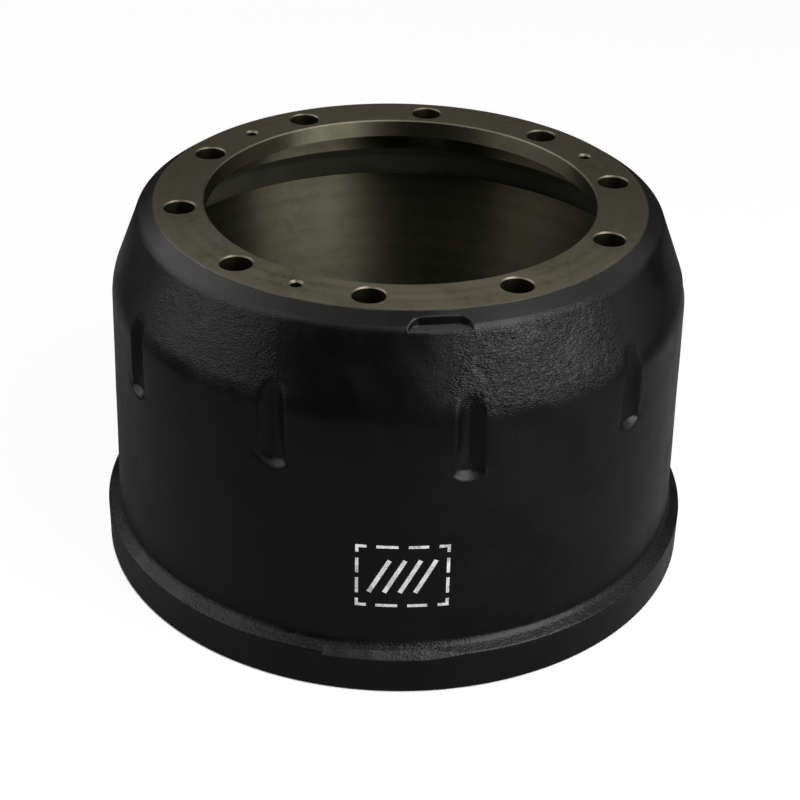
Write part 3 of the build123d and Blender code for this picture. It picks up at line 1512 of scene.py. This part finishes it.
@dataclass(frozen=True)
class Softbox(Panel):
    """One large soft lamp.

    Attributes:
        brightness: radiance of its face, where a white wall is 1.
    """

    brightness: float

    def build(self, aim: Vector) -> None:
        """Hangs the lamp and turns it to a point.

        Args:
            aim: the point that it faces.
        """
        light = bpy.data.lights.new(self.name, "AREA")
        light.shape = "RECTANGLE"
        light.size, light.size_y = self.width, self.height
        light.energy = self.brightness * math.pi * self.width * self.height
        lamp = bpy.data.objects.new(self.name, light)
        lamp.location = aim + self.way * self.distance
        lamp.rotation_euler = self.way.to_track_quat("Z", "Y").to_euler()
        lamp.visible_camera = False
        bpy.context.scene.collection.objects.link(lamp)


@dataclass(frozen=True)
class DarkCard(Panel):
    """One matte dark card. Only gloss and metal see it, as a dark shape.

    Attributes:
        grey: how pale it is.
        lift: millimetres above the floor, for a card that lies under the drum's middle.
    """

    grey: float
    lift: float | None = None

    def build(self, aim: Vector) -> None:
        """Sets up the card and turns it to a point, or lays it down.

        Args:
            aim: the point that a standing card faces.
        """
        if self.lift is None:
            turn = self.way.to_track_quat("Z", "Y").to_matrix().to_4x4()
            place = Matrix.Translation(aim + self.way * self.distance) @ turn
        else:
            place = Matrix.Translation((0, 0, self.lift * MM))
        size = Matrix.Diagonal((self.width, self.height, 1.0, 1.0))
        mesh = bmesh.new()
        bmesh.ops.create_grid(mesh, x_segments=1, y_segments=1, size=0.5, matrix=place @ size)
        card = to_object(mesh, self.name)
        material, wiring, surface = start_surface(self.name)
        cloth = wiring.add("ShaderNodeBsdfDiffuse", {"Color": (self.grey, self.grey, self.grey)})
        wiring.feed(surface, cloth.outputs[0])
        card.data.materials.append(material)
        card.visible_camera = card.visible_diffuse = card.visible_shadow = False
        card.visible_transmission = card.visible_volume_scatter = False


@dataclass
class Studio:
    """Plain pale floor, white surroundings, soft lamps, dark cards and the camera.

    Attributes:
        floor_size: width of the floor, in metres.
        floor_colour: the floor's colour.
        white_share: how far the floor shows white round the drum.
        drum_radius: radius within which it doesn't, in metres.
        room_light: strength of the surroundings' light.
        aim: the drum's middle.
        lamps: the lamps.
        cards: the dark cards and cloths.
        camera_place: where the camera is, in metres.
        camera_elevation: how far it looks down, in degrees.
        camera_roll: how far it leans, in degrees.
        camera_lens: its focal length on a 36 mm sensor.
    """

    floor_size: float = 40.0
    floor_colour: Colour = (0.9, 0.9, 0.9)
    white_share: float = 0.94
    drum_radius: float = 0.236
    room_light: float = 0.22
    aim: Vector = field(default_factory=lambda: Vector((0, 0, 0.2)))
    lamps: tuple[Softbox, ...] = (
        Softbox("right_softbox", 49, 33, 1.7, 1.3, 2.2, 6.0),
        Softbox("left_softbox", -77, 30, 1.7, 1.3, 1.9, 1.35),
        Softbox("left_rear_softbox", -118, 28, 1.9, 1.1, 1.6, 1.5),
    )
    cards: tuple[DarkCard, ...] = (
        DarkCard("front_card", -11, 18, 1.7, 2.5, 1.9, 0.01),
        DarkCard("back_card", 180, 12, 0.95, 6.0, 0.83, 0.03),
        DarkCard("ceiling_card", 0, 90, 2.2, 1.2, 2.2, 0.40),
        DarkCard("far_floor_cloth", 0, 0, 0.0, 12.0, 12.0, 0.04, 0.3),
        DarkCard("near_floor_cloth", 0, 0, 0.0, 1.3, 1.3, 0.25, 0.6),
    )
    camera_place: tuple[float, float, float] = (0.003216, -1.205151, 0.830850)
    camera_elevation: float = 31.003
    camera_roll: float = 1.414
    camera_lens: float = 77.74

    def build(self) -> None:
        """Sets up everything round the drum."""
        self.build_floor()
        self.build_world()
        for part in (*self.lamps, *self.cards):
            part.build(self.aim)
        self.build_camera()
        bpy.context.scene.view_settings.view_transform = "Standard"

    @staticmethod
    def seen_directly(wiring: Wiring) -> bpy.types.NodeSocket:
        """Tells rays from the camera, from gloss and through glass from all others.

        Args:
            wiring: the wiring of the world or a material.

        Returns:
            The socket of a share that is 1 for those rays.
        """
        rays = wiring.add("ShaderNodeLightPath").outputs
        glass = wiring.math("MAXIMUM", rays["Is Glossy Ray"], rays["Is Transmission Ray"])
        return wiring.math("MAXIMUM", rays["Is Camera Ray"], glass)

    def build_floor(self) -> None:
        """Lays the floor, which shows white outside the drum and keeps its shadow."""
        mesh = bmesh.new()
        bmesh.ops.create_grid(mesh, x_segments=1, y_segments=1, size=self.floor_size / 2)
        bmesh.ops.translate(mesh, verts=mesh.verts[:], vec=(0, 0, -0.1 * MM))
        floor = to_object(mesh, "floor")
        material, wiring, surface = start_surface("pale_floor")
        paper = wiring.add("ShaderNodeBsdfDiffuse", {"Color": self.floor_colour})
        white = wiring.add("ShaderNodeEmission", {"Color": (1.0, 1.0, 1.0), "Strength": 1.0})
        place = wiring.add("ShaderNodeTexCoord").outputs["Object"]
        away = wiring.vector("LENGTH", place).outputs["Value"]
        outside = wiring.math("GREATER_THAN", away, self.drum_radius)
        share = wiring.product(self.seen_directly(wiring), self.white_share, outside)
        colours = {0: share, 1: paper.outputs[0], 2: white.outputs[0]}
        top = wiring.add("ShaderNodeMixShader", colours)
        clear = wiring.add("ShaderNodeBsdfTransparent")
        below = wiring.add("ShaderNodeNewGeometry").outputs["Backfacing"]
        both = wiring.add("ShaderNodeMixShader", {0: below, 1: top.outputs[0], 2: clear.outputs[0]})
        wiring.feed(surface, both.outputs[0])
        floor.data.materials.append(material)

    def build_world(self) -> None:
        """Makes the surroundings white to look at and a plain soft light otherwise."""
        world = bpy.data.worlds.new("white_room")
        world.use_nodes = True
        wiring = Wiring(world.node_tree)
        background = world.node_tree.nodes["Background"]
        level = wiring.blend(self.seen_directly(wiring), self.room_light, 1.0)
        wiring.feed(background.inputs["Strength"], level)
        background.inputs["Color"].default_value = (1.0, 1.0, 1.0, 1.0)
        bpy.context.scene.world = world

    def build_camera(self) -> None:
        """Places the camera at its fitted height, tilt and lens."""
        data = bpy.data.cameras.new("camera")
        data.sensor_width = 36.0
        data.lens = self.camera_lens
        camera = bpy.data.objects.new("camera", data)
        tilt = Matrix.Rotation(math.radians(90 - self.camera_elevation), 4, "X")
        roll = Matrix.Rotation(math.radians(self.camera_roll), 4, "Z")
        camera.matrix_world = Matrix.Translation(self.camera_place) @ tilt @ roll
        bpy.context.scene.collection.objects.link(camera)
        bpy.context.scene.camera = camera


# ------------------------------------------------------------------------------- main


FINISHES: dict[Zone, BlackPaint | TurnedIron | BareCasting] = {
    Zone.PAINTED_SKIN: BlackPaint(),
    Zone.FACED_FLANGE: TurnedIron(
        name="faced_flange", rings_along=Rings.ACROSS_FACE, colour=(0.134, 0.122, 0.081),
        stained=(0.056, 0.051, 0.031), pitch=0.9, roughness=0.35, spread=0.13,
        anisotropy=0.45, ring_depth=0.02 * MM, paint_line=186.5,
    ),
    Zone.TURNED_INSIDE: TurnedIron(
        name="turned_inside", rings_along=Rings.ALONG_WALL, colour=(0.097, 0.092, 0.065),
        stained=(0.061, 0.060, 0.039), pitch=1.1, roughness=0.42, spread=0.05,
        anisotropy=1.0, ring_depth=0.02 * MM,
    ),
    Zone.BARE_CAST: BareCasting(),
    Zone.WORN_EDGE: TurnedIron(
        name="worn_edge", rings_along=Rings.ALONG_WALL, colour=(0.13, 0.12, 0.09),
        stained=(0.09, 0.08, 0.06), pitch=0.9, roughness=0.40, spread=0.06,
        anisotropy=0.0, ring_depth=0.0,
    ),
    # The holes' walls get a much darker iron than the turned inside: painted shade inside the
    # holes.
    Zone.DRILLED: TurnedIron(
        name="drilled_hole_painted_shade", rings_along=Rings.ALONG_WALL, colour=(0.034, 0.032, 0.020),
        stained=(0.022, 0.020, 0.012), pitch=1.4, roughness=0.46, spread=0.06,
        anisotropy=0.0, ring_depth=0.0,
    ),
    Zone.GROUND: BlackPaint(
        name="thin_ground_paint", colour=(0.008, 0.008, 0.008), thin_colour=(0.026, 0.025, 0.024),
    ),
}


def main() -> None:
    """Builds the dressed casting, its mark and the studio."""
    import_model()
    sizes = DrumSizes()
    effects = Effects()

    casting = Casting(sizes).build()
    for zone in Zone:
        casting.data.materials.append(FINISHES[zone].material(effects, sizes))
    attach(casting, BODY)
    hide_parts(NODE)
    LOG.info("casting replaces %s", NODE)

    mark = StencilMark(sizes).build()
    mark.data.materials.append(StencilPaint().material(effects, sizes))
    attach(mark, BODY)
    LOG.info("mark: %d faces", len(mark.data.polygons))

    Studio().build()
    LOG.info("studio is set")


if __name__ == "__main__":
    logging.basicConfig(level=logging.INFO, format="%(message)s")
    main()
